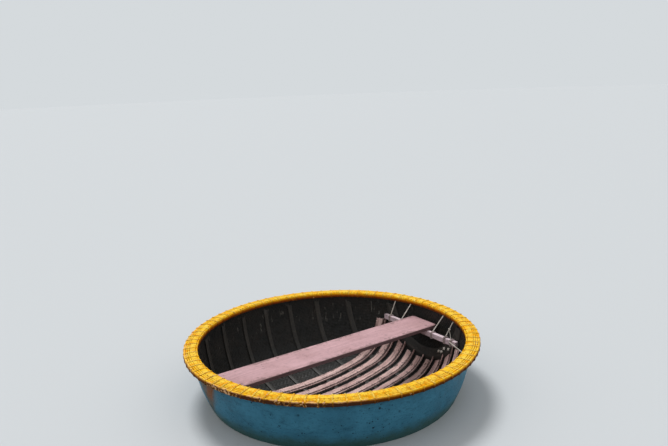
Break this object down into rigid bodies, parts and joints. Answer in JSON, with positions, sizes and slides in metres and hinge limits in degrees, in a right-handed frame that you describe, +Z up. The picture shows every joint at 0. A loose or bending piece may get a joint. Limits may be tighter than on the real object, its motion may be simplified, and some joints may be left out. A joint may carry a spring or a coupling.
{
  "type": "round basket boat",
  "caption": "Round coracle: a painted woven-bamboo bowl with a lashed split-bamboo rim, a plank seat on two rope-hung bearers, cross ribs and floor slats.",
  "frame": {"origin": "centre of the waterline plane, inside the hull, below the centre of the rim", "axes": "+Z up, square to the plane of the rim; +X to the right and +Y away as the picture looks at the boat; the seat runs 35 degrees from +X towards +Y"},
  "size_m": [2.0056, 2.0056, 0.6028],
  "materials": {
    "hull_paint": "worn turquoise boat paint over resin",
    "tarred_weave": "woven bamboo darkened with resin",
    "rim_paint": "yellow paint on split bamboo",
    "rim_edge_paint": "worn yellow paint on split bamboo",
    "rim_lashing": "painted lashing",
    "tarred_rib": "bamboo darkened with resin",
    "weathered_bamboo": "weathered split bamboo",
    "seat_wood": "worn sawn board",
    "bearer_wood": "pale weathered batten",
    "rope": "off-white laid rope"
  },
  "bodies": {
    "root": {"outer_skin": "hull_paint", "woven_shell": "tarred_weave", "rim_outer_packing": "rim_paint", "rim_third_hoop": "rim_paint", "rim_second_hoop": "rim_paint", "rim_outer_hoop": "rim_edge_paint", "rim_inner_packing": "rim_paint", "rim_inner_hoop": "rim_paint", "rim_cap": "rim_paint", "rim_lashings": "rim_lashing", "cross_ribs": "tarred_rib", "wide_floor_slats": "weathered_bamboo", "thin_floor_slats": "weathered_bamboo", "seat_plank": "seat_wood", "bearer_right": "bearer_wood", "bearer_left": "bearer_wood", "bearer_rope_turns": "rope", "bearer_ropes": "rope"}
  },
  "joints": []
}
